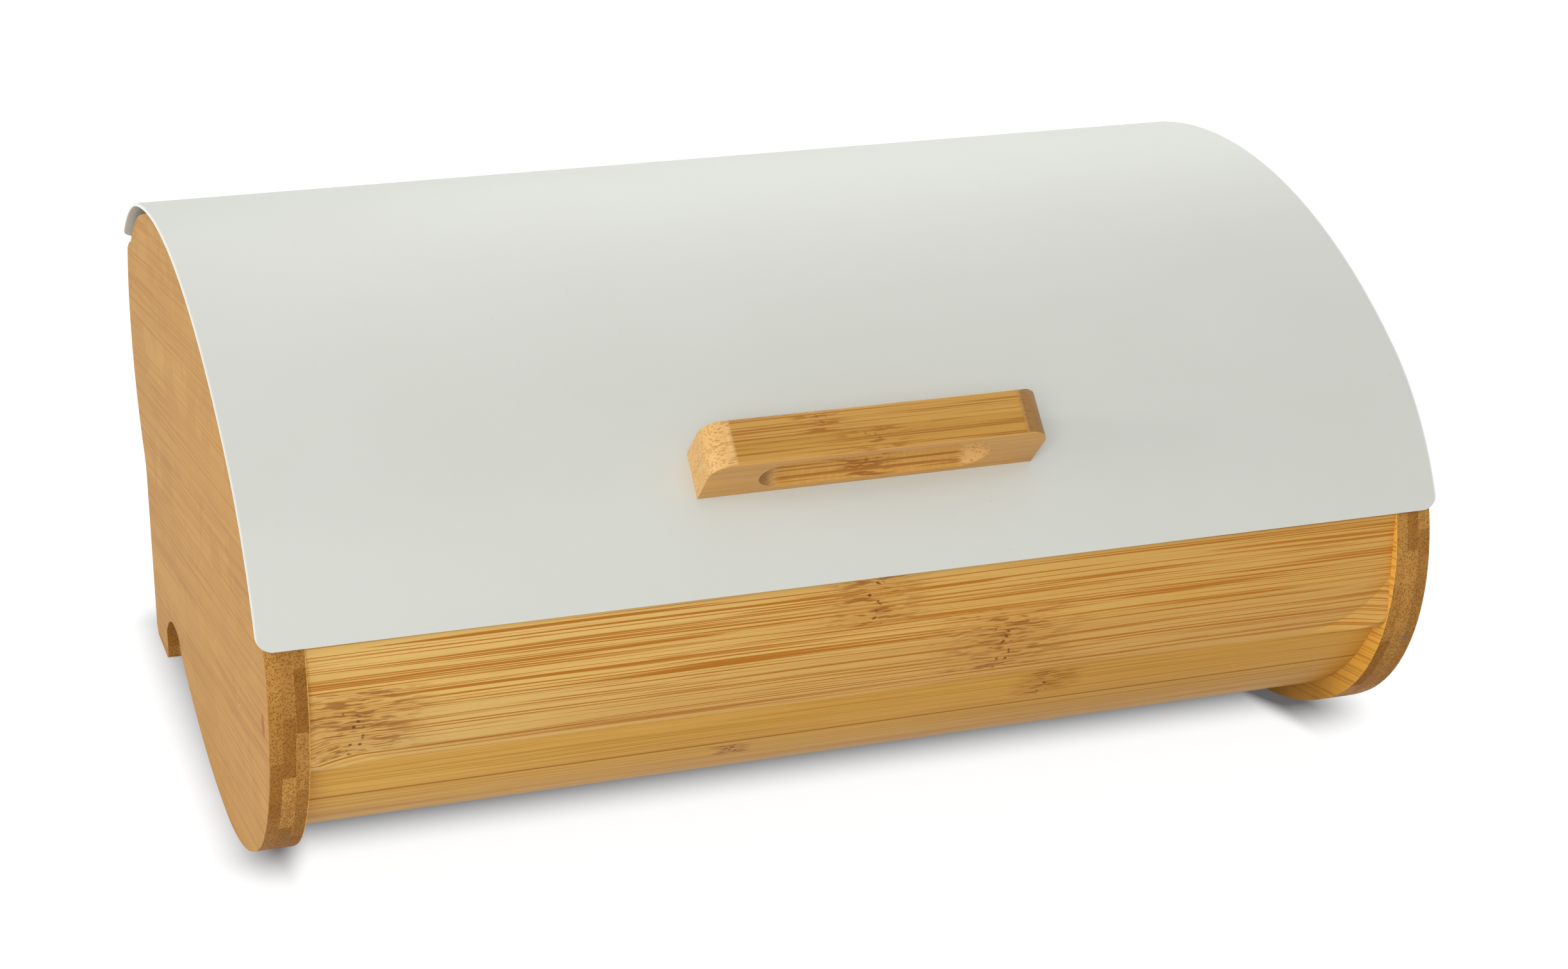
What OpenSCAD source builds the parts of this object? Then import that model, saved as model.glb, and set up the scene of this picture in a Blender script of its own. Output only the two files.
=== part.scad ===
/* [Overall] */
// Width of the lid, which is the widest piece
lid_w = 380; // [320:1:460]
// Depth, from the noses of the side panels to their rearmost swell
box_d = 272; // [230:1:330]
// Height of the lid's crown
box_h = 179.4; // [170:0.2:216]
// Height of the lid's front edge
edge_z = 97.2; // [94:0.2:106]

/* [Lid] */
// Thickness of the lid's steel sheet
lid_t = 1; // [0.6:0.1:1.5]
// Radius of the arc at the lid's rear edge
lid_r_rear = 104; // [95:1:115]
// Slope of the sheet at its front edge
lid_a_edge = 68.9; // [66:0.1:72]
// Slope where the front arc meets the crown arc
lid_a_front = 33.8; // [32:0.1:36]
// Slope where the crown arc meets the rear arc
lid_a_rear = 13.1; // [12:0.1:15]
// Slope of the sheet at its rear edge
lid_a_tip = 41.6; // [40:0.1:43]
// Distance of the lid's front edge behind the noses
lid_front_set = 0.7; // [0:0.1:3]
// Distance of the lid's rear edge ahead of the rearmost swell
lid_rear_set = 13; // [11:0.5:16]
// Radius of the lid's four corners
lid_corner_r = 5; // [2:0.5:12]

/* [Side panels] */
// Thickness of a side panel
panel_t = 12; // [9:0.5:16]
// Distance of a side panel's outer face inside the lid's end
panel_inset = 2; // [1:0.5:6]
// Gap between the lid's sheet and the panels' edges
lid_gap = 0.3; // [0.3:0.1:1]
// Depth of the relief cut under the lid's rear arc
relief_depth = 2.7; // [1.5:0.1:4]
// Slope of the straight run into the relief
relief_a = 16.4; // [15:0.1:18]
// Rearward angle at which the relief ends
relief_a_end = 40.1; // [38:0.1:41]
// Rearward angle of the shoulder behind the lid's rear edge
shoulder_a = 42.6; // [42:0.1:43]
// Depth of the shoulder under the lid's inner face
shoulder_depth = 1.2; // [0.8:0.1:2]
// Radius of the swell at the rear
swell_r = 72; // [66:1:80]
// Distance of the swell's centre below the lid's rear edge
swell_drop = 37.5; // [35:0.5:40]
// Rearward angle at which the swell starts
swell_a = 64.3; // [63:0.1:67]
// Distance of the rear leg's edge ahead of the swell
leg_set = 17.4; // [14:0.2:20]
// Radius of the hollow between the swell and the leg
hollow_r = 18; // [12:1:24]
// Length of the rear foot
foot_l = 28; // [22:1:36]
// Radius of the foot's heel
heel_r = 4; // [2:0.5:6]
// Radius of the foot's toe
toe_r = 3; // [2:0.5:5]
// Height of the arch ahead of the foot
arch_h = 22.8; // [20:0.2:26]
// Radius of the arch
arch_r = 34.2; // [32:0.2:38]
// Distance of the arch's top ahead of the leg's edge
arch_set = 53.6; // [50:0.2:56]
// Distance of the belly's rear end ahead of the leg's edge
belly_set = 64; // [62:0.5:68]
// Height of the belly's rear end
belly_rise = 18.3; // [15:0.1:20]
// Radius of the corner between the belly and the arch
belly_corner_r = 4; // [3:0.5:8]
// Radius of the belly ahead of its contact with the ground
belly_r = 120.4; // [110:0.2:130]
// Angle below level at which the nose arc ends
nose_a = 56.6; // [54:0.2:60]
// Distance of the nose below the lid's front edge
nose_drop = 18.2; // [15:0.2:21]

/* [Front and floor] */
// Thickness of the front wall
front_t = 12; // [10:0.5:14]
// Distance of the front board's face behind the noses
front_set = 2.6; // [1.5:0.1:4]
// Radius of the curve that turns the front wall under
curve_r = 88; // [84:0.5:92]
// Height of that curve's lowest point
curve_lift = 8.2; // [7:0.1:10]
// Height of the seam under the front board
seam_z = 54.5; // [52:0.5:58]
// Length at each end over which the front board stays proud of that curve
lip_l = 30; // [20:1:40]
// Radius under the proud ends
lip_r = 8; // [6:0.5:9]
// Angle that each curved stave covers
stave_a = 12; // [11:0.1:12.5]
// Height of the front board above the lid's front edge
lid_lap = 1.5; // [1:0.1:2.5]
// Gap between the front board and the lid's sheet
front_gap = 0.8; // [0.5:0.1:1.2]
// Thickness of the floor board
floor_t = 10; // [9:0.5:14]
// Gap between the top of the arch and the floor board
floor_gap = 0.4; // [0.2:0.1:3]

/* [Back] */
// Thickness of the back board
back_t = 10; // [8:0.5:12]
// Distance of the back board's face ahead of the leg's edge
back_set = 1; // [0.5:0.5:3]
// Distance of the back board's top below the lid's rear edge
back_drop = 2; // [1.5:0.5:6]

/* [Dowels] */
// Diameter of a dowel
dowel_d = 6; // [5:0.5:7]
// Length of a dowel
dowel_l = 24; // [20:1:30]
// Depth that a dowel enters a side panel
dowel_in = 8; // [5:0.5:8.5]
// Clearance of a dowel in its hole, on the radius
dowel_gap = 0.05; // [0.02:0.01:0.1]

/* [Hinge] */
// Distance of the pivot ahead of the lid's rear edge
pivot_set = 16.2; // [15:0.2:18]
// Distance of the pivot below the lid's rear edge
pivot_drop = 38; // [37:0.5:40]
// Angle through which the lid opens
open_a = 95; // [90:1:100]
// Thickness of the hinge steel
ear_t = 1.5; // [1.2:0.1:2.5]
// Radius of the hinge ear round its pivot
ear_r = 8; // [7:0.5:10]
// Rearward angle of the hinge flange's front end
ear_a = 10.5; // [8:0.5:16]
// Width of the flange under the lid
flange_w = 12; // [8:0.5:16]
// Thickness of the spacer between the ear and the panel
spacer_t = 1; // [0.8:0.1:2]
// Radius of the spacer
spacer_r = 7; // [6:0.5:8]
// Side clearance of the ear
side_gap = 0.1; // [0.05:0.05:0.3]
// Radius of the pivot screw's shoulder
shoulder_r = 3; // [2.5:0.5:4]
// Running clearance of the ear on the shoulder, on the radius
pivot_gap = 0.05; // [0.02:0.01:0.1]
// Radius of the pivot screw's thread
thread_r = 2; // [1.5:0.25:2]
// Length of the pivot screw's thread
thread_l = 8; // [6:0.5:8]
// Radius of the pivot screw's head
head_r = 5.5; // [4.5:0.5:6.5]
// Height of the pivot screw's head
head_h = 3; // [2:0.25:3.5]
// Width across the flats of the screw's socket
socket_w = 4; // [3:0.5:5]
// Radius of the threaded insert
insert_r = 4; // [3.5:0.25:5]
// Clearance of the thread and of the insert, on the radius
insert_gap = 0.03; // [0.02:0.01:0.08]
// Gap at the open stop
stop_gap = 0.3; // [0.3:0.1:1]

/* [Handle] */
// Length of the handle
handle_l = 108; // [90:1:140]
// Height of the handle, measured along the lid
handle_h = 15; // [13:0.5:18]
// Projection of the handle from the lid
handle_p = 22; // [18:0.5:24]
// Radius of the handle's outer end corners
handle_r = 8; // [4:0.5:12]
// Radius along the handle's outer long edges
handle_edge_r = 1; // [0.5:0.25:2]
// Slope of the lid at the middle of the handle
handle_a = 45.6; // [44:0.1:50]
// Length of the finger groove
groove_l = 74; // [50:1:80]
// Radius of the cutter that leaves the groove
groove_r = 9.7; // [8:0.1:10]
// Depth of the groove
groove_depth = 5; // [3:0.25:5]
// Distance of the groove's axis from the lid
groove_set = 10.5; // [10:0.25:11]
// Distance between the handle's two screws
screw_pitch = 88; // [80:1:96]
// Radius of a handle screw's shank
screw_r = 2; // [1.5:0.25:2]
// Depth that a handle screw enters the handle
screw_in = 14; // [10:0.5:16]
// Radius of a handle screw's head
screw_head_r = 3.8; // [3:0.1:4.5]
// Height of a handle screw's head
screw_head_h = 2.4; // [1.5:0.1:3]
// Radius of the washer under each head
washer_r = 5; // [4.5:0.25:7]
// Thickness of that washer
washer_t = 0.8; // [0.5:0.1:1.2]
// Clearance of the handle screws, on the radius
screw_gap = 0.05; // [0.02:0.01:0.1]

/* [Hidden] */
$fn = 48;
// Segments of a large arc
arc_fn = 240;
// Growth of the tighter of two arcs that meet, so that they cross cleanly
tuck = 0.002;
// Overlap of two solids that are joined end to end
eps = 0.05;

bamboo = [0.85, 0.68, 0.43];
bamboo_dark = [0.78, 0.58, 0.33];
enamel = [0.93, 0.93, 0.92];
steel = [0.72, 0.73, 0.75];
brass = [0.80, 0.66, 0.35];
nylon = [0.90, 0.90, 0.86];

// Profiles are drawn as [y, z]. An angle is measured from straight up towards the front,
// so a rearward angle is negative.
function dir(a) = [-sin(a), cos(a)];
function polar(c, r, a) = c + r * dir(a);
function turn(v, a) = [v.x * cos(a) - v.y * sin(a), v.x * sin(a) + v.y * cos(a)];

// ---- Lid curve: three tangent arcs through the crown, the front edge and the rear edge
front_y = -box_d / 2;
rear_y = box_d / 2;
lid_span = box_d - lid_front_set - lid_rear_set;
lid_drop = box_h - edge_z;
// Each arc's share of the lid's drop and of its run
drop_crown = 1 - cos(lid_a_front);
drop_front = cos(lid_a_front) - cos(lid_a_edge);
run_crown = sin(lid_a_front) + sin(lid_a_rear);
run_front = sin(lid_a_edge) - sin(lid_a_front);
run_rest = lid_span - lid_r_rear * (sin(lid_a_tip) - sin(lid_a_rear));
lid_det = drop_crown * run_front - drop_front * run_crown;
lid_r_crown = (lid_drop * run_front - drop_front * run_rest) / lid_det;
lid_r_front = (drop_crown * run_rest - run_crown * lid_drop) / lid_det;

crown_c = [front_y + lid_front_set + lid_r_front * run_front + lid_r_crown * sin(lid_a_front),
           box_h - lid_r_crown];
front_c = polar(crown_c, lid_r_crown - lid_r_front, lid_a_front);
rear_c = polar(crown_c, lid_r_crown - lid_r_rear, -lid_a_rear);
lid_tip = polar(rear_c, lid_r_rear, -lid_a_tip);

// ---- Side panel
panel_out = lid_w / 2 - panel_inset;
panel_in = panel_out - panel_t;
seat = lid_t + lid_gap;
leg_y = rear_y - leg_set;
nose_z = edge_z - nose_drop;
nose_r = (nose_z - belly_r * (1 - sin(nose_a))) / sin(nose_a);
nose_c = [front_y + nose_r, nose_z];
nose_end_a = 90 + nose_a;
belly_c = nose_c + (belly_r - nose_r) * [cos(nose_a), sin(nose_a)];
belly_end = leg_y - belly_set;
belly_run = belly_end - belly_c.x;
belly_rear_r = (belly_run * belly_run + belly_rise * belly_rise) / (2 * belly_rise);
belly_rear_c = [belly_c.x, belly_rear_r];
belly_end_a = 180 + asin(belly_run / belly_rear_r);
belly_corner_y = belly_end - belly_corner_r;
belly_corner_c = [belly_corner_y, belly_rear_r
    - sqrt(pow(belly_rear_r - belly_corner_r, 2) - pow(belly_corner_y - belly_rear_c.x, 2))];
belly_corner_a = 180 + asin((belly_corner_y - belly_rear_c.x) / (belly_rear_r - belly_corner_r));

relief_r = lid_r_rear - seat - relief_depth;
relief_start = polar(rear_c, relief_r, -relief_a);
ramp_foot = polar(rear_c, relief_r, -relief_a_end);
ramp_head = polar(rear_c, lid_r_rear - lid_t - shoulder_depth, -shoulder_a);
swell_c = [rear_y - swell_r, lid_tip.y - swell_drop];
swell_start = polar(swell_c, swell_r, -swell_a);
hollow_c = [leg_y + hollow_r,
            swell_c.y - sqrt(pow(swell_r + hollow_r, 2) - pow(leg_y + hollow_r - swell_c.x, 2))];
toe_y = leg_y - foot_l;
arch_c = [leg_y - arch_set, arch_h - arch_r];

// ---- Front wall, floor and back
front_face = front_y + front_set;
curve_c = [front_y + curve_r, curve_lift + curve_r];
seam_a = asin((curve_c.y - seam_z) / curve_r);
seam_y = curve_c.x - curve_r * cos(seam_a);
front_top = edge_z + lid_lap;
// Arc in plan from the seam's depth out to the board's face
lip_depth = seam_y - front_face;
lip_arc_r = (lip_l * lip_l + lip_depth * lip_depth) / (2 * lip_depth);
floor_z = arch_h + floor_gap;
back_face = leg_y - back_set;
back_front = back_face - back_t;
back_top = lid_tip.y - back_drop;

// ---- Hinge
pivot = [lid_tip.x - pivot_set, lid_tip.y - pivot_drop];
spacer_out = panel_in - spacer_t;
ear_out = spacer_out - side_gap;
ear_in = ear_out - ear_t;
head_out = ear_in - side_gap;
head_in = head_out - head_h;
// The open ear's lower edge, at the back board's rear face
open_dip = open_a - 90;
ear_low = pivot.y - ear_r / cos(open_dip) - (back_face - pivot.x) * tan(open_dip);
notch_z = ear_low - stop_gap;
notch_in = head_in - 0.7;
flange_r = lid_r_rear - lid_t;
ear_rear_a = asin((pivot.x + ear_r - rear_c.x) / flange_r);
// The ear's front edge leaves its hub at ear_hub and meets the flange's front end
ear_reach = polar(rear_c, flange_r, -ear_a) - pivot;
ear_hub = pivot + ear_r * turn(ear_reach / norm(ear_reach), acos(ear_r / norm(ear_reach)));
ear_arm = pivot + ear_reach - ear_hub;

// ---- Dowels: [y, z] of each, at both ends of its board
dowel_r = dowel_d / 2;
hole_r = dowel_r + dowel_gap;
wall_r = curve_r - front_t / 2;
dowel_edge = 9;
function on_wall(a) = curve_c + wall_r * [-cos(a), -sin(a)];
function spread(from, to, n) = [for (i = [0:n - 1]) from + (to - from) * i / (n - 1)];
front_dowels = [[front_face + front_t / 2, front_top - dowel_edge], on_wall(seam_a - 6)];
stave_dowels = [for (i = [1, 3]) on_wall(seam_a + (i + 0.5) * stave_a)];
floor_front = curve_c.x - sqrt(pow(curve_r - front_t, 2) - pow(curve_c.y - floor_z - floor_t, 2));
floor_dowels = [for (y = spread(floor_front + 2 * dowel_edge, back_front - dowel_edge, 4))
    [y, floor_z + floor_t / 2]];
back_dowels = [for (z = spread(floor_z + dowel_edge, notch_z - dowel_edge, 3))
    [back_front + back_t / 2, z]];
all_dowels = concat(front_dowels, stave_dowels, floor_dowels, back_dowels);

// ---- Handle
handle_seat = lid_r_front;
screw_x = screw_pitch / 2;
// Sag of the curved sheet over the washer's width
washer_sag = (lid_r_front - lid_t) - sqrt(pow(lid_r_front - lid_t, 2) - washer_r * washer_r);
washer_top = -lid_t - washer_sag - 0.02;
head_top = washer_top - washer_t;

// ======== Outlines ========

// Wedge of a disc's surroundings between two angles, from its centre out
module wedge(c, a0, a1) polygon([c, for (i = [0:4]) polar(c, 2 * box_d, a0 + (a1 - a0) * i / 4)]);

// What lies outside a disc within a wedge, to be trimmed from a blank. Where two arcs meet
// smoothly, the wider one's wedge runs on a little and the tighter one's stops at the joint.
module trim(c, r, a0, a1) difference() {
    wedge(c, a0, a1);
    translate(c) circle(r, $fn = arc_fn);
}
run_on = 5;

// Trims of the front and crown arcs at a depth under the lid's face
module lid_trims(depth) {
    trim(crown_c, lid_r_crown - depth, -lid_a_rear - run_on, lid_a_front + run_on);
    trim(front_c, lid_r_front - depth + tuck, lid_a_front, lid_a_edge + 2 * run_on);
}

// Round a square corner at p. Its sides run along sx and sz, each 1 or -1, into the piece.
module corner_trim(p, r, sx, sz) translate(p) flip(sx, sz) difference() {
    translate([-1, -1]) square(r + 1);
    translate([r, r]) circle(r + tuck);
}
module flip(sx, sz) mirror([sx < 0 ? 1 : 0, 0]) mirror([0, sz < 0 ? 1 : 0]) children();

// Profile swept from x0 to x1
module across(x0, x1) translate([x0, 0, 0]) rotate([90, 0, 90]) linear_extrude(x1 - x0) children();

// Round bar along X from x0 to x1, at a [y, z] point
module bar(at, r, x0, x1) translate([x0, at.x, at.y]) rotate([0, 90, 0]) cylinder(r = r, h = x1 - x0);

module both_ends() { children(); mirror([1, 0, 0]) children(); }

module dowel_holes(pts) both_ends() for (p = pts)
    bar(p, hole_r, panel_in + dowel_in - dowel_l - dowel_gap, panel_in + dowel_in + dowel_gap);

// Frame on the lid at the handle: X along the handle, Y up the lid, Z out of it
module on_lid() {
    p = polar(front_c, lid_r_front, handle_a);
    translate([0, p.x, p.y]) rotate([handle_a, 0, 0]) children();
}

// ======== Body ========

// Blank from ahead of the nose to the leg's edge, trimmed round the front, top and belly
module panel_lobe() {
    slope = turn([1, 0], -relief_a);
    difference() {
        translate([front_y - 5, -5]) square([leg_y - front_y + 5, box_h + 10]);
        lid_trims(seat);
        trim(nose_c, nose_r + 2 * tuck, lid_a_edge - 2 * run_on, nose_end_a);
        trim(belly_c + [0, tuck], belly_r + tuck, nose_end_a - run_on, 180);
        trim(belly_rear_c + [0, tuck], belly_rear_r, 180 - run_on, belly_end_a + 1);
        trim(belly_corner_c, belly_corner_r + tuck, belly_corner_a, 270);
        // Straight run down into the relief, then the relief under the lid's rear arc
        polygon([relief_start - relief_r * slope, relief_start + relief_r * slope,
                 relief_start + [relief_r, relief_r], relief_start + [-relief_r, relief_r]]);
        trim(rear_c, relief_r + tuck, -90, -relief_a);
    }
}
// Rear leg from over the arch to its edge, with its foot's corners rounded
module panel_leg() difference() {
    translate([arch_c.x, 0]) square([leg_y - arch_c.x, swell_c.y]);
    corner_trim([toe_y, 0], toe_r, 1, 1);
    corner_trim([leg_y, 0], heel_r, -1, 1);
}
module arch() intersection() {
    translate(arch_c) circle(arch_r, $fn = arc_fn);
    translate([belly_end, -arch_r]) square([toe_y - belly_end, 2 * arch_r]);
}
// Swell behind the lid's rear edge: ramp, shoulder and round back
module panel_swell() intersection() {
    translate(swell_c) circle(swell_r, $fn = arc_fn);
    polygon([swell_c, ramp_head + 6 * (ramp_foot - ramp_head), ramp_head,
             ramp_head + 3 * (swell_start - ramp_head),
             [rear_y + swell_r, swell_c.y], hollow_c]);
}
module panel_outline() difference() {
    union() {
        panel_lobe();
        panel_leg();
        panel_swell();
        polygon([swell_c, [swell_c.x, hollow_c.y], hollow_c]);
    }
    arch();
    translate(hollow_c) circle(hollow_r + tuck, $fn = arc_fn);
}

module side_panel() color(bamboo) difference() {
    across(panel_in, panel_out) panel_outline();
    dowel_holes(all_dowels);
    bar(pivot, insert_r + insert_gap, panel_in - 1, panel_in + thread_l + 1.5);
}
module left_side_panel() mirror([1, 0, 0]) side_panel();
module right_side_panel() side_panel();

// Wall between the flat and curved outer face and the same shape one thickness in
module wall_side(depth) intersection() {
    translate(curve_c) circle(curve_r - depth, $fn = arc_fn);
    translate([front_face + depth, 0]) square([curve_r, box_h]);
}
module front_wall() difference() { wall_side(0); wall_side(front_t); }

// Sector of the front wall between two angles below level
module sector(a0, a1) polygon([curve_c,
    curve_c + 2 * curve_r * [-cos(a0), -sin(a0)],
    curve_c + 2 * curve_r * [-cos(a1), -sin(a1)]]);
module wall_slice(a0, a1) intersection() { front_wall(); sector(a0, a1); }

module front_board() color(bamboo) difference() {
    union() {
        across(-panel_in, panel_in) intersection() {
            wall_slice(-30, seam_a);
            translate([front_face, 0]) square([curve_r, front_top]);
            translate(front_c) circle(lid_r_front - lid_t - front_gap, $fn = arc_fn);
        }
        both_ends() end_lip();
    }
    dowel_holes(front_dowels);
}
// The flat face runs on downwards at each end, and a sweep in plan brings it in to the curve
module end_lip() difference() {
    across(panel_in - lip_l, panel_in) intersection() {
        sector(0, seam_a);
        difference() {
            translate([front_face, seam_z]) square([lip_r, front_top - seam_z]);
            corner_trim([front_face, seam_z], lip_r, 1, 1);
        }
    }
    translate([panel_in - lip_l, seam_y + eps - lip_arc_r, 0])
        cylinder(r = lip_arc_r, h = box_h, $fn = arc_fn);
}
module stave(i) color(bamboo) difference() {
    across(-panel_in, panel_in) wall_slice(seam_a + i * stave_a, seam_a + (i + 1) * stave_a);
    dowel_holes(stave_dowels);
}
module upper_stave() stave(0);
module middle_stave() stave(1);
module lower_stave() stave(2);
module bottom_stave() stave(3);

module floor_board() color(bamboo) difference() {
    across(-panel_in, panel_in) intersection() {
        translate([front_y, floor_z]) square([back_front - front_y, floor_t]);
        union() {
            translate(curve_c) circle(curve_r - front_t, $fn = arc_fn);
            translate([curve_c.x, 0]) square([box_d, box_h]);
        }
    }
    dowel_holes(floor_dowels);
}

// The top corners are cut away for the hinge ears, and the cuts' floors stop the open lid
module back_board() color(bamboo) difference() {
    across(-panel_in, panel_in)
        translate([back_front, floor_z]) square([back_t, back_top - floor_z]);
    both_ends() translate([notch_in, back_front - 1, notch_z])
        cube([panel_in - notch_in + 1, back_t + 2, back_top - notch_z + 1]);
    dowel_holes(back_dowels);
}

module joint_dowels() color(bamboo_dark) both_ends() for (p = all_dowels)
    bar(p, dowel_r, panel_in + dowel_in - dowel_l, panel_in + dowel_in);

module pivot_inserts() color(brass) both_ends() difference() {
    bar(pivot, insert_r, panel_in, panel_in + thread_l + 1);
    bar(pivot, thread_r + insert_gap, panel_in - 1, panel_in + thread_l + 2);
}
module pivot_screws() color(steel) both_ends() difference() {
    union() {
        bar(pivot, head_r, head_in, head_out);
        bar(pivot, shoulder_r, head_out - eps, panel_in);
        bar(pivot, thread_r, panel_in - eps, panel_in + thread_l);
    }
    bar(pivot, socket_w / sqrt(3), head_in - 1, head_in + head_h * 0.6, $fn = 6);
}
module pivot_spacers() color(nylon) both_ends() difference() {
    bar(pivot, spacer_r, spacer_out, panel_in);
    bar(pivot, shoulder_r + pivot_gap, spacer_out - 1, panel_in + 1);
}

// ======== Lid ========

// Everything under the lid's face less a depth
module under_lid(depth) difference() {
    translate([2 * front_y, 0]) square([2 * box_d, 2 * box_h]);
    lid_trims(depth);
    trim(rear_c, lid_r_rear - depth + tuck, -120, -lid_a_rear);
    wedge(front_c, lid_a_edge + run_on, 120);
}
module lid_outline() difference() {
    intersection() {
        under_lid(0);
        polygon([front_c, polar(front_c, box_d, lid_a_edge), [front_y, 2 * box_h],
                 [rear_y, 2 * box_h], polar(rear_c, box_d, -lid_a_tip), rear_c]);
    }
    under_lid(lid_t);
}

// Square corner less its round, at a corner of the sheet, cut through its thickness
module corner_cut(a, c, r, up) translate([lid_w / 2, polar(c, r, a).x, polar(c, r, a).y])
    rotate([a, 0, 0]) translate([-lid_corner_r, 0, -2 * lid_t]) linear_extrude(3 * lid_t)
        mirror([0, up ? 0 : 1]) difference() {
            translate([0, -1]) square([lid_corner_r + 1, lid_corner_r + 1]);
            translate([0, lid_corner_r]) circle(lid_corner_r + tuck);
        }

module lid_sheet() color(enamel) difference() {
    across(-lid_w / 2, lid_w / 2) lid_outline();
    both_ends() {
        corner_cut(lid_a_edge, front_c, lid_r_front, true);
        corner_cut(-lid_a_tip, rear_c, lid_r_rear, false);
    }
    on_lid() both_ends() translate([screw_x, 0, -3 * lid_t])
        cylinder(r = screw_r + screw_gap, h = 4 * lid_t);
}

// Steel angle: a plate on the pivot, and a flange that lies under the sheet
module hinge_ear() color(steel) difference() {
    union() {
        across(ear_in, ear_out) intersection() {
            union() {
                translate(pivot) circle(ear_r + tuck);
                polygon([ear_hub, pivot + [ear_r, 0], pivot + [ear_r, 1.2 * norm(ear_arm)],
                         ear_hub + 1.2 * ear_arm]);
            }
            translate(rear_c) circle(flange_r, $fn = arc_fn);
        }
        across(ear_in - flange_w, ear_out) intersection() {
            wedge(rear_c, -ear_rear_a, -ear_a);
            difference() {
                translate(rear_c) circle(flange_r, $fn = arc_fn);
                translate(rear_c) circle(flange_r - ear_t, $fn = arc_fn);
            }
        }
    }
    bar(pivot, shoulder_r + pivot_gap, ear_in - 1, ear_out + 1);
}
module left_hinge_ear() mirror([1, 0, 0]) hinge_ear();
module right_hinge_ear() hinge_ear();

module handle() color(bamboo) difference() {
    on_lid() difference() {
        intersection() {
            // Seen along the lid: outer end corners rounded
            translate([0, handle_h / 2, 0]) rotate([90, 0, 0]) linear_extrude(handle_h)
                rounded_top(handle_l, handle_p, handle_r);
            // Seen from the end: long outer edges eased
            translate([-handle_l / 2, 0, 0]) rotate([90, 0, 90]) linear_extrude(handle_l)
                rounded_top(handle_h, handle_p, handle_edge_r);
        }
        translate([0, groove_depth - handle_h / 2 - groove_r, groove_set]) finger_groove();
        both_ends() translate([screw_x, 0, -lid_t])
            cylinder(r = screw_r + screw_gap, h = screw_in + lid_t + 1);
    }
    across(-handle_l, handle_l) translate(front_c) circle(handle_seat, $fn = arc_fn);
}
// Rectangle w wide that reaches from just under the lid's face to h, with two corners rounded
module rounded_top(w, h, r) {
    translate([-w / 2, -2]) square([w, h + 2 - r]);
    translate([-w / 2 + r, -2]) square([w - 2 * r, h + 2]);
    for (s = [-1, 1]) translate([s * (w / 2 - r), h - r]) circle(r);
}
// Path of a ball-nosed cutter along X
module finger_groove() {
    reach = groove_l / 2 - sqrt(groove_r * groove_r - pow(groove_r - groove_depth, 2));
    translate([-reach, 0, 0]) rotate([0, 90, 0]) cylinder(r = groove_r, h = 2 * reach, $fn = 96);
    for (s = [-1, 1]) translate([s * reach, 0, 0]) sphere(groove_r, $fn = 96);
}

module handle_screws() color(steel) on_lid() both_ends() translate([screw_x, 0, 0]) difference() {
    union() {
        translate([0, 0, head_top - eps]) cylinder(r = screw_r, h = screw_in - head_top + eps);
        translate([0, 0, head_top - screw_head_h]) cylinder(r = screw_head_r, h = screw_head_h);
    }
    // Cross recess
    for (a = [0, 90]) rotate(a) translate([-screw_head_r * 0.6, -0.45, head_top - screw_head_h - 1])
        cube([screw_head_r * 1.2, 0.9, 1 + screw_head_h * 0.6]);
}
module handle_washers() color(steel) on_lid() both_ends() translate([screw_x, 0, head_top])
    difference() {
        cylinder(r = washer_r, h = washer_t);
        translate([0, 0, -1]) cylinder(r = screw_r + screw_gap, h = washer_t + 2);
    }

left_side_panel();
right_side_panel();
front_board();
upper_stave();
middle_stave();
lower_stave();
bottom_stave();
floor_board();
back_board();
joint_dowels();
pivot_inserts();
pivot_screws();
pivot_spacers();
lid_sheet();
left_hinge_ear();
right_hinge_ear();
handle();
handle_screws();
handle_washers();
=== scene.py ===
"""Bread bin: a lid of curved sheet steel with a bamboo handle, on lobed bamboo side panels.

Everything is in metres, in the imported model's frame: X runs along the bin, Y from front to back,
Z up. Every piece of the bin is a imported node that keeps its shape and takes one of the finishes
below, and most have their arrises eased. Bamboo is built up as it is in the real bin: fibre
bundles that run along a strip, strips side by side in a layer, and layers pressed together.
"""

import math

import bpy
from mathutils import Matrix, Vector


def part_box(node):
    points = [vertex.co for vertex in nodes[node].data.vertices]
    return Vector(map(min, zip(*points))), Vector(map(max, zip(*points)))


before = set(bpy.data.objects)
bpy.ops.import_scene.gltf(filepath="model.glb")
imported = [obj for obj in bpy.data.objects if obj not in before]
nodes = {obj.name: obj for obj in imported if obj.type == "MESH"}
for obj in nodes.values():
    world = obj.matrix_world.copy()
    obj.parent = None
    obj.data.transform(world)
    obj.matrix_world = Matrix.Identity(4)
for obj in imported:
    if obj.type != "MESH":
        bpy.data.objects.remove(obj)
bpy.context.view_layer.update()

MM = 0.001

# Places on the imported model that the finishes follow
panel_low, panel_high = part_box("right_side_panel")
PANEL_MIDDLE = (panel_low.x + panel_high.x) / 2         # of a side panel's thickness, along X
PANEL_HALF = (panel_high.x - panel_low.x) / 2           # half of that thickness
PLY = PANEL_HALF * 2 / 3                                # one of its three layers
GRAIN_RISE = math.radians(9)                            # of its fibres, towards the front
BOARD_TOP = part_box("front_board")[1].z - 0.2 * MM       # height just under the front board's top
SHEET_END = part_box("lid_sheet")[1].x                    # cut side of the lid's sheet
STAVE_RADIUS = 88 * MM                                  # of the curve that the staves follow
STAVE_AXIS_Y = panel_low.y + STAVE_RADIUS               # its axis, as it starts at the bin's front
STAVE_AXIS_Z = 96.2 * MM
HANDLE_FOOT = Vector((0, -114.97 * MM, 128.8 * MM))     # middle of the handle's foot on the lid
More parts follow.
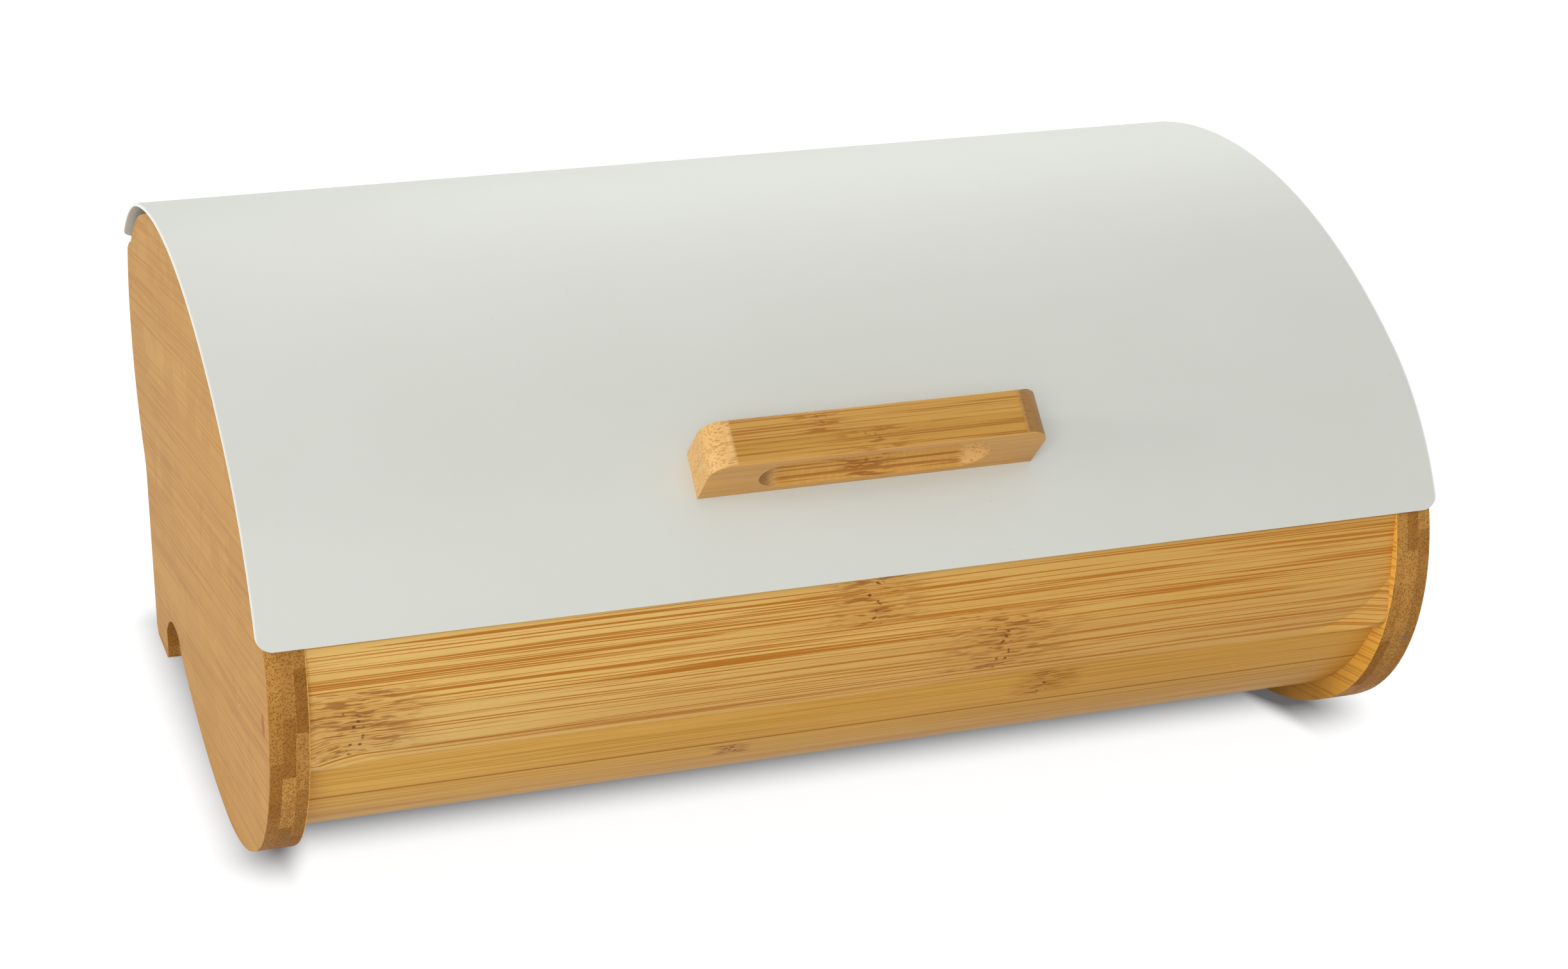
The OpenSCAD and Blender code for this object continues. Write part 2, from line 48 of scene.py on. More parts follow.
HANDLE_TILT = math.radians(45.6)                        # of the lid's face under the handle
BIN_MIDDLE = Vector((0, 0, 90 * MM))

BAMBOO_IOR = 1.46
WHITE = (1, 1, 1, 1)


def tone(red, green, blue):
    """A colour as it is read off a print, 0 to 255, in the renderer's linear light."""
    def linear(value):
        value /= 255
        return value / 12.92 if value <= 0.04045 else ((value + 0.055) / 1.055) ** 2.4
    return (linear(red), linear(green), linear(blue), 1.0)


# ======== Camera ========

def set_camera():
    """Stands where the photograph was taken, a little left of the bin and above it.

    Its place and turn were worked out from the two side panels' outlines, which are one curve.
    """
    place = Vector((-0.31237, -0.95807, 0.45929))
    right = Vector((0.94727613, -0.32039612, 0.00662798))
    up = Vector((0.10734955, 0.33683318, 0.93557744))
    turn = Matrix((right, up, right.cross(up))).transposed()
    lens = bpy.data.cameras.new("camera")
    lens.sensor_fit = "HORIZONTAL"
    lens.sensor_width = 36.0
    lens.lens = 72.05
    lens.clip_start, lens.clip_end = 0.05, 50.0
    camera = bpy.data.objects.new("camera", lens)
    bpy.context.scene.collection.objects.link(camera)
    camera.matrix_world = Matrix.Translation(place) @ turn.to_4x4()
    bpy.context.scene.camera = camera


# ======== Node trees ========

class Field:
    """What a node gives: a number, a place or a colour that changes over a piece, or a shader.

    Sums and products of fields and plain numbers are written as usual, and each adds a node.
    """

    def __init__(self, socket):
        self.socket = socket
        self.tree = socket.id_data

    def __add__(self, other):
        return calc("ADD", self, other)

    def __sub__(self, other):
        return calc("SUBTRACT", self, other)

    def __rsub__(self, other):
        return calc("SUBTRACT", other, self)

    def __mul__(self, other):
        return calc("MULTIPLY", self, other)

    def __truediv__(self, other):
        return calc("DIVIDE", self, other)

    def __abs__(self):
        return calc("ABSOLUTE", self)


def tree_of(values):
    """The tree that the fields among some values are in."""
    return next(value.tree for value in values if isinstance(value, Field))


def wire(node, wires):
    """Gives a node's inputs, by name or number, a field or a plain value each."""
    for key, value in wires.items():
        if isinstance(value, Field):
            value.tree.links.new(value.socket, node.inputs[key])
        else:
            node.inputs[key].default_value = value


def put(tree, kind, wires=None, **settings):
    """Adds a node with its settings and what its inputs get."""
    node = tree.nodes.new("ShaderNode" + kind)
    for key, value in settings.items():
        setattr(node, key, value)
    wire(node, wires or {})
    return node


def result(tree, kind, output, wires=None, **settings):
    """Adds a node and takes one of its outputs."""
    return Field(put(tree, kind, wires, **settings).outputs[output])


def calc(operation, *terms):
    """One Math node on fields and numbers."""
    return result(tree_of(terms), "Math", 0, dict(enumerate(terms)), operation=operation)


def most(first, *others):
    """The largest of some fields and numbers."""
    for other in others:
        first = calc("MAXIMUM", first, other)
    return first


def remap(value, low, high, to_low=0.0, to_high=1.0):
    """Carries low..high over to to_low..to_high, eased at both ends and held beyond them."""
    wires = {"Value": value, "From Min": low, "From Max": high, "To Min": to_low, "To Max": to_high}
    return result(value.tree, "MapRange", "Result", wires, interpolation_type="SMOOTHSTEP")


def vector(x, y, z):
    """A place from its three parts."""
    return result(tree_of((x, y, z)), "CombineXYZ", 0, {0: x, 1: y, 2: z})


def split(place):
    """The three parts of a place."""
    return [Field(part) for part in put(place.tree, "SeparateXYZ", {0: place}).outputs]


def stretch(place, x, y, z):
    """A place scaled along each axis."""
    return result(place.tree, "VectorMath", 0, {0: place, 1: (x, y, z)}, operation="MULTIPLY")


def mix(amount, under, over):
    """The colour under, with the colour over laid on it by amount, 0 to 1."""
    return result(amount.tree, "Mix", 2, {0: amount, 6: under, 7: over}, data_type="RGBA")


def stain(colour, mask, share, shade):
    """A colour with shade laid on it where mask is high, share of the way at most."""
    return mix(mask * share, colour, shade)


def noise(at, detail=2.0, output="Fac"):
    """Noise of one cell a unit at a place that is already scaled."""
    return result(at.tree, "TexNoise", output, {"Vector": at, "Scale": 1.0, "Detail": detail})


def cells(at, randomness=1.0):
    """Scattered cells, one a unit: the way to the cell's middle, and a colour for each cell."""
    node = put(at.tree, "TexVoronoi", {"Vector": at, "Scale": 1.0, "Randomness": randomness})
    return Field(node.outputs["Distance"]), Field(node.outputs["Color"])


def new_group(name, outputs, **inputs):
    """Starts a group with number outputs, and returns it and its inputs by name.

    inputs gives each its value until a field is wired to it: a number, or a tuple for a place.
    """
    group = bpy.data.node_groups.new(name, "ShaderNodeTree")
    for key, value in inputs.items():
        kind = "NodeSocketVector" if isinstance(value, tuple) else "NodeSocketFloat"
        group.interface.new_socket(key, in_out="INPUT", socket_type=kind).default_value = value
    for key in outputs:
        group.interface.new_socket(key, in_out="OUTPUT", socket_type="NodeSocketFloat")
    given = group.nodes.new("NodeGroupInput").outputs
    return group, {key: Field(given[key]) for key in inputs}


def give(group, **fields):
    """Ends a group: puts what it has worked out on its outputs."""
    wire(group.nodes.new("NodeGroupOutput"), fields)


def use(group, **wires):
    """Places a group in the tree that its fields come from, and returns its outputs by name."""
    node = put(tree_of(wires.values()), "Group", wires, node_tree=group)
    return {socket.name: Field(socket) for socket in node.outputs}


# ======== Effects that several finishes share ========

# In each group, At is a place on a strip as (along, across, through) in metres
ORIGIN = (0.0, 0.0, 0.0)


def build_bundles():
    """Fibre bundles of a bamboo strip, each Spacing from the next, that wander slightly.

    Cut across they show as dots, and cut along they show as hair lines.
    """
    group, given = new_group("fibre bundles", ("Dots", "Walls"),
                             At=ORIGIN, Spacing=0.6 * MM, Wander=0.4 * MM)
    along, across, through = split(given["At"])
    drift = split(noise(stretch(given["At"], 14, 60, 60), 1.0, "Color"))
    across = (drift[0] - 0.5) * given["Wander"] + across
    through = (drift[1] - 0.5) * given["Wander"] + through
    to_middle, _ = cells(
        vector(along * 22, across / given["Spacing"], through / given["Spacing"]), 0.85)
    give(group, Dots=remap(to_middle, 0.52, 0.26), Walls=remap(to_middle, 0.35, 0.75))
    return group


def build_streaks():
    """Sap along a strip: short wide streaks, and long hair lines that swell and fade between them.

    Length and Pitch are the size of a streak, and Share is how much of the strip they take up.
    """
    group, given = new_group("sap streaks", ("Streaks", "Fine", "Cloud"), At=ORIGIN,
                             Length=46 * MM, Pitch=0.9 * MM, Share=0.4, Drift=1.6 * MM)
    along, across, through = split(given["At"])
    bend = noise(stretch(given["At"], 8, 40, 40), 1.0)
    across = (bend - 0.5) * given["Drift"] + across
    drawn_out = vector(along / given["Length"], across / given["Pitch"], through / given["Pitch"])
    crowd = noise(stretch(given["At"], 12, 190, 190))
    edge = (crowd - 0.5) * -0.22 + (given["Share"] * -0.25 + 0.67)
    streaks_here = remap(noise(drawn_out), edge, edge + 0.075)
    swell = (noise(stretch(drawn_out, 0.5, 0.26, 0.26), 1.0) - 0.5) * 0.16
    # Two sets of hair lines: long and close together, and shorter and further apart
    fine = 0.0
    for long_scale, cross_scale, low in ((0.3, 1.9, 0.545), (0.42, 1.15, 0.585)):
        line = noise(stretch(drawn_out, long_scale, cross_scale, cross_scale), 1.0) + swell
        fine = most(fine, remap(line, low, low + 0.09))
    cloud = noise(stretch(given["At"], 7, 110, 110), 3.0)
    give(group, Streaks=streaks_here, Fine=fine, Cloud=cloud)
    return group


def build_knuckle():
    """A cane's joint on a strip: short dashes on both sides of a row of small pits.

    Along and Across are its place on the strip, Half is half the strip's width, and Spread is
    how far the dashes reach along it.
    """
    group, given = new_group("cane knuckle", ("Dashes", "Pits", "Halo"), At=ORIGIN,
                             Along=0.0, Across=0.0, Half=11 * MM, Spread=30 * MM)
    along, across, through = split(given["At"])
    half, soft = given["Half"], 0.4 * MM
    on_strip = remap(abs(across - given["Across"]), half + soft, half - soft)
    wave = noise(vector(given["Along"], across * 210, 0.0))
    from_ring = (along - given["Along"]) + (wave - 0.5) * (9 * MM)
    reach = given["Spread"] * (wave * 1.2 + 0.3)
    halo = remap(abs(from_ring), reach, 3 * MM) * on_strip
    ruffle = noise(stretch(given["At"], 150, 260, 260), 1.0)
    ruffled = (ruffle - 0.5) * (1.1 * MM) + across
    dash = remap(noise(vector(along * 130, ruffled * 1350, through * 1350)), 0.5, 0.6)
    to_middle, _ = cells(vector(from_ring * 380, across * 430, 0.5))
    row = remap(abs(from_ring), 3.2 * MM, 2.2 * MM) * on_strip
    give(group, Dashes=dash * halo, Pits=remap(to_middle, 0.3, 0.16) * row, Halo=halo)
    return group


def build_strips():
    """Strips side by side across a layer: a tone for each, and the fine line where two meet."""
    group, given = new_group("glued strips", ("Tone", "Glue"),
                             Across=0.0, Layer=0.0, Width=20 * MM)
    stagger = result(group, "TexWhiteNoise", "Value", {"W": given["Layer"]},
                     noise_dimensions="1D")
    place = given["Across"] / given["Width"] + stagger
    strip = calc("FLOOR", place)
    own_tone = result(group, "TexWhiteNoise", "Value",
                      {"Vector": vector(strip, given["Layer"], 3.0)}, noise_dimensions="3D")
    to_joint = (0.5 - abs((place - strip) - 0.5)) * given["Width"]
    give(group, Tone=own_tone, Glue=remap(to_joint, 0.16 * MM, 0.05 * MM))
    return group


def build_rubbed():
    """Rubbed arrises: high where the surface turns within Reach, broken up by noise."""
    group, given = new_group("rubbed arrises", ("Mask",), At=ORIGIN, Reach=0.8 * MM)
    turned = result(group, "Bevel", 0, {"Radius": given["Reach"]}, samples=4)
    plain = result(group, "NewGeometry", "Normal")
    same = result(group, "VectorMath", "Value", {0: turned, 1: plain}, operation="DOT_PRODUCT")
    patchy = noise(stretch(given["At"], 160, 160, 160), 3.0)
    give(group, Mask=remap(same, 0.995, 0.88) * remap(patchy, 0.38, 0.62))
    return group


bundles = build_bundles()
streaks = build_streaks()
knuckle = build_knuckle()
strips = build_strips()
rubbed = build_rubbed()


# ======== Finishes ========

def new_finish(name, **constants):
    """A material with one Principled shader, and the place on the piece that its pattern follows.

    The shader's sockets that stay the same all over are set here.
    """
    material = bpy.data.materials.new(name)
    material.use_nodes = True
    tree = material.node_tree
    tree.nodes.clear()
    shader = put(tree, "BsdfPrincipled",
                 {key.replace("_", " "): value for key, value in constants.items()})
    put(tree, "OutputMaterial", {"Surface": Field(shader.outputs[0])})
    return material, shader, result(tree, "TexCoord", "Object")


def dress(shader, colour, roughness, height, depth):
    """Gives a shader its colour, its roughness and a relief of depth for each unit of height."""
    raised = result(height.tree, "Bump", 0, {"Height": height, "Distance": depth, "Strength": 1.0})
    wire(shader, {"Base Color": colour, "Roughness": roughness, "Normal": raised})


def spot(place, middle, reach):
    """A ragged spot: 1 at its middle and 0 beyond its reach along X, Y and Z."""
    away = noise(stretch(place, 900, 900, 900)) * 1.2
    for part, centre, half in zip(split(place), middle, reach):
        share = (part - centre) / half
        away = away + share * share
    return remap(away, 1.45, 1.05)


def bamboo_front(name, way_over, pale, deep, shaded_right_tone, sap, knuckles, share, strength,
                 seams=(), gloss=0.25, calm_below=-1.0):
    """Laminated bamboo whose fibres run along the bin.

    way_over(y, z) gives the way over the strips, which the places below are on. Strips are pale
    to deep, and towards the right they take a darker tone: painted shade, as less of the light
    from the left falls there. sap is the tone of their streaks and lines, share is how much of a
    strip the streaks take up, and strength how dark both are. knuckles are the cane's joints, as
    the knuckle group takes them, and seams are dark joints, each a place and a strength. Below
    calm_below the streaks and lines are weaker.
    """
    material, shader, place = new_finish(name, IOR=BAMBOO_IOR, Specular_IOR_Level=gloss)
    x, y, z = split(place)
    over = way_over(y, z)
    own = vector(x, over, y * 0.02)
    lay = use(strips, Across=over + 100.5 * MM, Layer=4.0, Width=22.6 * MM)
    grain = use(streaks, At=own, Share=share)
    cloudy = lay["Tone"] * 0.3 + grain["Cloud"] * 0.7
    colour = mix(remap(cloudy, 0.25, 0.75), pale, deep)
    # Painted shade: the strips darken towards the right, where less of the light from the left
    # falls
    colour = mix(remap(x, -180 * MM, 180 * MM, 0.0, 0.8), colour, shaded_right_tone)
    lines = most(grain["Streaks"] * (0.6 * strength), grain["Fine"] * strength)
    lines = lines * remap(over, calm_below - 3 * MM, calm_below + 3 * MM, 0.4, 1.0)
    dashes = pits = halo = 0.0
    for each in knuckles:
        mark = use(knuckle, At=own, **each)
        lines = lines * (1.0 - mark["Halo"] * 0.35)
        dashes = most(dashes, mark["Dashes"])
        pits = most(pits, mark["Pits"])
        halo = most(halo, mark["Halo"])
    for seam, depth in seams:
        lines = most(lines, remap(abs(over - seam), 0.7 * MM, 0.25 * MM) * depth)
    colour = stain(colour, halo, 0.26, sap)
    colour = mix(lines, colour, sap)
    colour = stain(colour, dashes, 0.75, tone(142, 80, 18))
    colour = stain(colour, pits, 0.85, tone(96, 52, 14))
    dress(shader, colour, lines * 0.12 + 0.42, lines * -0.3 - pits, 0.06 * MM)
    return material


def up_the_board(y, z):
    """Way up the front board's face, and from there back over its top."""
    return calc("GREATER_THAN", z, BOARD_TOP) * y + z


def round_the_staves(y, z):
    """Way round the curve of the staves: 0 on a level with its axis, and less further down."""
    return calc("ARCTAN2", STAVE_AXIS_Z - z, STAVE_AXIS_Y - y) * -STAVE_RADIUS


def bamboo_panel():
    """Three pressed layers of strips whose fibres rise a little on their way to the front."""
    material, shader, place = new_finish(
        "bamboo side panel", IOR=BAMBOO_IOR, Specular_IOR_Level=0.03)
    x, y, z = split(place)
    outwards = abs(x) - PANEL_MIDDLE
    on_face = remap(abs(outwards), PANEL_HALF - 0.3 * MM, PANEL_HALF - 0.1 * MM)
    # The layers, 0 to 2 from inside to outside, meet on slightly wavy lines
    wobble = noise(stretch(place, 0, 40, 40))
    through = (outwards + ((wobble - 0.5) * (0.5 * MM) + PANEL_HALF)) / PLY
    ply = calc("FLOOR", through)
    to_glue = abs((through - ply) - 0.5)
    over = y * math.sin(GRAIN_RISE) + z * math.cos(GRAIN_RISE)
    own = vector(y, over, x)
    layer = ply + calc("SIGN", x) * 5    # so the two panels' strips differ
    lay = use(strips, Across=over, Layer=layer, Width=20 * MM)
    grain = use(streaks, At=own, Length=70 * MM, Pitch=1.5 * MM, Share=0.3)
    hair = use(bundles, At=own, Spacing=0.6 * MM, Wander=0.3 * MM)

    cloudy = lay["Tone"] * 0.45 + grain["Cloud"] * 0.55
    face = mix(cloudy, tone(191, 144, 72), tone(173, 126, 58))
    # The faces inside are painted brighter and redder, most of all near the front: painted bounce
    # light from the bamboo beside them
    inside = remap(outwards, 2 * MM, -2 * MM)
    face = mix(inside * remap(y, -88 * MM, -112 * MM, 0.25, 0.88), face, tone(250, 192, 84))
    face = stain(face, grain["Fine"], 0.45, tone(158, 102, 42))
    face = stain(face, grain["Streaks"], 0.3, tone(158, 100, 40))
    mark = use(knuckle, At=own, Along=-78 * MM, Across=47 * MM, Half=10 * MM, Spread=26 * MM)
    face = stain(face, mark["Dashes"], 0.38, tone(160, 106, 50))
    face = stain(face, mark["Pits"], 0.4, tone(226, 190, 140))

    ends = mix(lay["Tone"], tone(200, 150, 80), tone(150, 101, 45))
    patch = noise(stretch(own, 60, 90, 400), 3.0)
    ends = mix(remap(patch, 0.35, 0.7, 0.0, 0.3), ends, tone(160, 106, 46))
    ends = stain(ends, remap(to_glue, 0.46, 0.5), 0.3, tone(214, 160, 92))
    ends = stain(ends, hair["Dots"], 0.6, tone(112, 66, 22))

    # A chipped spot on the left panel's front arris, and a grey spot on the right one's edge
    chip = spot(place, (-188 * MM, -126.3 * MM, 70.6 * MM), (2.2 * MM, 3 * MM, 4.4 * MM))
    grey = spot(place, (185 * MM, -129 * MM, 51 * MM), (1.2 * MM, 5 * MM, 1.2 * MM))

    colour = mix(on_face, ends, face)
    colour = stain(colour, use(rubbed, At=own)["Mask"], 0.3, tone(222, 178, 116))
    colour = stain(colour, chip, 0.8, tone(150, 86, 24))
    colour = stain(colour, grey, 0.7, tone(120, 112, 100))
    height = hair["Dots"] * (on_face * 0.9 - 1.0) - grain["Fine"] * 0.12 - chip * 2
    dress(shader, colour, 0.52 - on_face * 0.08, height, 0.07 * MM)
    return material


def bamboo_board():
    """Plain pressed board of the floor and the back, with its fibres along the bin."""
    material, shader, place = new_finish("bamboo board", IOR=BAMBOO_IOR)
    x, y, z = split(place)
    own = vector(x, y + z, y - z)
    lay = use(strips, Across=y + z, Layer=11.0, Width=19.5 * MM)
    grain = use(streaks, At=own, Pitch=2.8 * MM, Share=0.4)
    hair = use(bundles, At=own, Spacing=0.7 * MM)
    cloudy = lay["Tone"] * 0.7 + grain["Cloud"] * 0.3
    colour = mix(cloudy, tone(217, 178, 120), tone(196, 150, 88))
    lines = most(grain["Streaks"] * 0.4, grain["Fine"] * 0.25, hair["Dots"] * 0.18)
    colour = mix(lines, colour, tone(160, 108, 48))
    colour = stain(colour, lay["Glue"], 0.5, tone(150, 100, 46))
    dress(shader, colour, lines * 0.15 + 0.46, lines * -1, 0.04 * MM)
    return material


def bamboo_handle():
    """Two strips glued one over the other and cut along their fibres, with end grain showing."""
    material, shader, place = new_finish(
        "bamboo handle", IOR=BAMBOO_IOR, Specular_IOR_Level=0.3)
    # Laid flat: X along the handle, Y up the lid, Z out from the lid's face
    turn = Matrix.Rotation(-HANDLE_TILT, 3, "X")
    laid = result(place.tree, "Mapping", 0, {
        "Vector": place, "Rotation": turn.to_euler(), "Location": turn @ -HANDLE_FOOT})
    x, up, out = split(laid)
    upper = calc("GREATER_THAN", up, 0.0)
    # The upper strip's pattern is taken from another place than the lower one's
    own = vector(x, up, upper * (40 * MM) + out)
    grain = use(streaks, At=own, Length=40 * MM, Share=0.25)
    hair = use(bundles, At=own, Spacing=0.72 * MM)
    colour = mix(grain["Cloud"], tone(202, 154, 72), tone(180, 130, 50))
    colour = stain(colour, upper, 0.2, tone(220, 174, 100))
    lines = most(grain["Streaks"] * 0.6, grain["Fine"] * 0.8)
    pits = 0.0
    for each in (dict(Along=-18.7 * MM, Across=4.2 * MM, Half=4.2 * MM, Spread=13 * MM),
                 dict(Along=-1.4 * MM, Across=-4 * MM, Half=4 * MM, Spread=17 * MM)):
        mark = use(knuckle, At=own, **each)
        lines = most(lines, mark["Dashes"] * 0.9)
        pits = most(pits, mark["Pits"] * 0.4)

    # The underside is cut flat along the fibres and shows little but hair lines
    under = remap(up, -7 * MM, -7.4 * MM)
    lines = lines * (1.0 - under * 0.7)
    colour = stain(colour, under, 0.6, tone(212, 160, 94))
    # The finger groove: above the underside, short of the ends and behind the front wall
    in_groove = remap(up, -1.8 * MM, -2.4 * MM) * remap(up, -7.4 * MM, -7.2 * MM)
    in_groove = in_groove * (
        remap(abs(x), 37.6 * MM, 37.2 * MM) * remap(out, 20 * MM, 19.6 * MM))
    # Painted light: the groove is made paler to offset the shade in its recess
    colour = stain(colour, in_groove, 0.4, tone(230, 172, 86))
    # Round ends, and the rounded ends of the groove, cut across the fibres
    ends = most(remap(abs(x), 45.6 * MM, 46.6 * MM) * (1.0 - under),
                in_groove * remap(abs(x), 28 * MM, 32 * MM))
    lines = lines * (1.0 - ends * 0.92)
    colour = stain(colour, ends, 0.7, tone(226, 182, 118))
    # Painted shade: the right end and the groove's left end face away from the light from the left,
    # and are made darker
    painted_end_shade = most(remap(x, 45.2 * MM, 47 * MM) * (1.0 - under),
                in_groove * remap(x, -29 * MM, -34 * MM))
    colour = stain(colour, painted_end_shade, 0.66, tone(118, 74, 24))
    lines = most(lines, hair["Dots"] * (ends * 0.5))
    # Short cross marks that the cutter left in the groove's floor
    chatter = remap(noise(stretch(laid, 760, 340, 0), 1.0), 0.5, 0.62)
    chatter = chatter * in_groove * remap(abs(x), 30 * MM, 24 * MM)
    colour = stain(colour, chatter, 0.14, tone(232, 190, 128))

    colour = mix(lines, colour, tone(158, 97, 28))
    colour = mix(pits, colour, tone(112, 64, 20))
    colour = stain(colour, remap(abs(up), 0.25 * MM, 0.08 * MM), 0.3, tone(150, 92, 30))
    colour = stain(colour, use(rubbed, At=laid)["Mask"], 0.35, tone(228, 184, 118))
    dress(shader, colour, lines * 0.12 + 0.42, chatter * 0.4 - lines, 0.05 * MM)
    return material


def bamboo_rod():
    """Plain turned rod of the dowels."""
    material, shader, place = new_finish("bamboo rod", IOR=BAMBOO_IOR)
    hair = use(bundles, At=place, Spacing=0.6 * MM)
    colour = mix(hair["Dots"], tone(208, 162, 100), tone(160, 108, 54))
    dress(shader, colour, 0.6 - hair["Walls"] * 0.1, hair["Walls"], 0.04 * MM)
    return material


def powder_coat():
    """Matt off-white powder coat: a faint skin like orange peel and a few stray specks."""
    material, shader, place = new_finish("powder coat", IOR=1.48, Specular_IOR_Level=0.3)
    skin = noise(stretch(place, 1400, 1400, 1400))
    broad = noise(stretch(place, 22, 22, 22), 3.0)
    to_middle, cell_colour = cells(stretch(place, 260, 260, 260))
    chosen = remap(result(place.tree, "SeparateColor", 0, {0: cell_colour}), 0.93, 0.95)
    speck = remap(to_middle, 0.07, 0.03) * chosen
    colour = mix(broad, tone(211, 213, 206), tone(207, 209, 201))
    # Painted highlight: the sheet's cut sides are made paler, as their thin edges catch the light
    # from the left
    painted_rim_highlight = remap(abs(split(place)[0]), SHEET_END - 0.6 * MM, SHEET_END - 0.2 * MM)
    colour = stain(colour, painted_rim_highlight, 0.5, tone(246, 246, 243))
    colour = stain(colour, speck, 0.35, tone(150, 134, 112))
    dress(shader, colour, skin * 0.14 + 0.42, speck * 0.6 + skin, 0.012 * MM)
    return material


def plated_steel():
    """Zinc-plated steel with rolling marks and a duller bloom in patches."""
    material, shader, place = new_finish("plated steel", Metallic=1.0)
    roll = noise(stretch(place, 300, 2600, 2600))
    bloom = noise(stretch(place, 230, 230, 230), 4.0)
    wear = use(rubbed, At=place, Reach=0.4 * MM)["Mask"]
    colour = mix(bloom, tone(206, 209, 212), tone(172, 176, 182))
    colour = stain(colour, wear, 0.5, tone(232, 233, 234))
    dress(shader, colour, bloom * 0.25 + (roll * 0.1 + 0.2), roll, 0.008 * MM)
    return material


def turned_brass():
    """Turned brass: fine rings round X from the tool, and a slight stain."""
    material, shader, place = new_finish("turned brass", Metallic=1.0)
    rings = noise(stretch(place, 5200, 0, 0), 1.0)
    stained = noise(stretch(place, 300, 300, 300), 3.0)
    colour = mix(stained, tone(222, 186, 112), tone(190, 150, 82))
    dress(shader, colour, stained * 0.2 + 0.22, rings, 0.01 * MM)
    return material


def moulded_nylon():
    """Natural nylon with the fine grain of its mould."""
    material, shader, place = new_finish("moulded nylon", IOR=1.53, Subsurface_Weight=0.1)
    grainy = noise(stretch(place, 1800, 1800, 1800))
    colour = mix(grainy, tone(232, 230, 220), tone(222, 219, 206))
    dress(shader, colour, grainy * 0.15 + 0.4, grainy, 0.01 * MM)
    return material


# ======== The bin's pieces ========

def cover(name, finish):
    """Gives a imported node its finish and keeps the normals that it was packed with."""
    piece = nodes[name]
    piece.data.materials.clear()
    piece.data.materials.append(finish)
    return piece


def ease(name, finish, width):
    """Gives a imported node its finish, and takes its arrises off by width."""
    piece = cover(name, finish)
    weld = piece.modifiers.new("joined", "WELD")
    weld.merge_threshold = 0.005 * MM
    bevel = piece.modifiers.new("eased", "BEVEL")
    bevel.width = width
    bevel.segments = 2
    bevel.limit_method = "ANGLE"
    bevel.angle_limit = math.radians(30)
    bevel.harden_normals = True


def finish_bin():
    """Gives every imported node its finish.

    The lid's sheet, the front board and the staves aren't eased: their curves run into flats
    without an arris, and their packed normals show that smoothly.
    """
    cover("lid_sheet", powder_coat())
    cover("front_board", bamboo_front(
        "bamboo front board", up_the_board,
        pale=tone(224, 184, 108), deep=tone(208, 162, 82), shaded_right_tone=tone(202, 153, 74),
        sap=tone(178, 112, 28), share=0.04, strength=1.0, calm_below=56 * MM,
        knuckles=(
            dict(Along=-162 * MM, Across=69.8 * MM, Half=11.2 * MM, Spread=34 * MM),
            dict(Along=42 * MM, Across=69.8 * MM, Half=11.2 * MM, Spread=36 * MM),
            dict(Along=-2 * MM, Across=92.2 * MM, Half=11.2 * MM, Spread=24 * MM))))
    stave = bamboo_front(
        "bamboo stave", round_the_staves,
        pale=tone(227, 180, 92), deep=tone(214, 163, 75), shaded_right_tone=tone(204, 153, 70),
        sap=tone(160, 101, 32), share=0.16, strength=0.4, gloss=0.06,
        seams=((-61.88 * MM, 0.85), (-80.31 * MM, 0.4)),
        knuckles=(
            dict(Along=62 * MM, Across=-50.5 * MM, Half=7 * MM, Spread=15 * MM),
            dict(Along=-40.5 * MM, Across=-68.5 * MM, Half=4 * MM, Spread=9 * MM)))
    for name in ("upper_stave", "middle_stave", "lower_stave", "bottom_stave"):
        cover(name, stave)

    panel, board, steel = bamboo_panel(), bamboo_board(), plated_steel()
    ease("left_side_panel", panel, 0.35 * MM)
    ease("right_side_panel", panel, 0.35 * MM)
    ease("floor_board", board, 0.3 * MM)
    ease("back_board", board, 0.3 * MM)
    ease("joint_dowels", bamboo_rod(), 0.2 * MM)
    ease("pivot_inserts", turned_brass(), 0.1 * MM)
    ease("pivot_screws", steel, 0.15 * MM)
    ease("pivot_spacers", moulded_nylon(), 0.08 * MM)
    ease("left_hinge_ear", steel, 0.2 * MM)
    ease("right_hinge_ear", steel, 0.2 * MM)
    ease("handle", bamboo_handle(), 0.4 * MM)
    ease("handle_screws", steel, 0.15 * MM)
    ease("handle_washers", steel, 0.1 * MM)


# ======== Floor and light ========

def seen_itself(tree):
    """1 for what is seen straight, in a gloss or through glass, and 0 for light on the bin."""
    path = put(tree, "LightPath").outputs
    return most(*(Field(path[ray]) for ray in (
        "Is Camera Ray", "Is Glossy Ray", "Is Transmission Ray")))


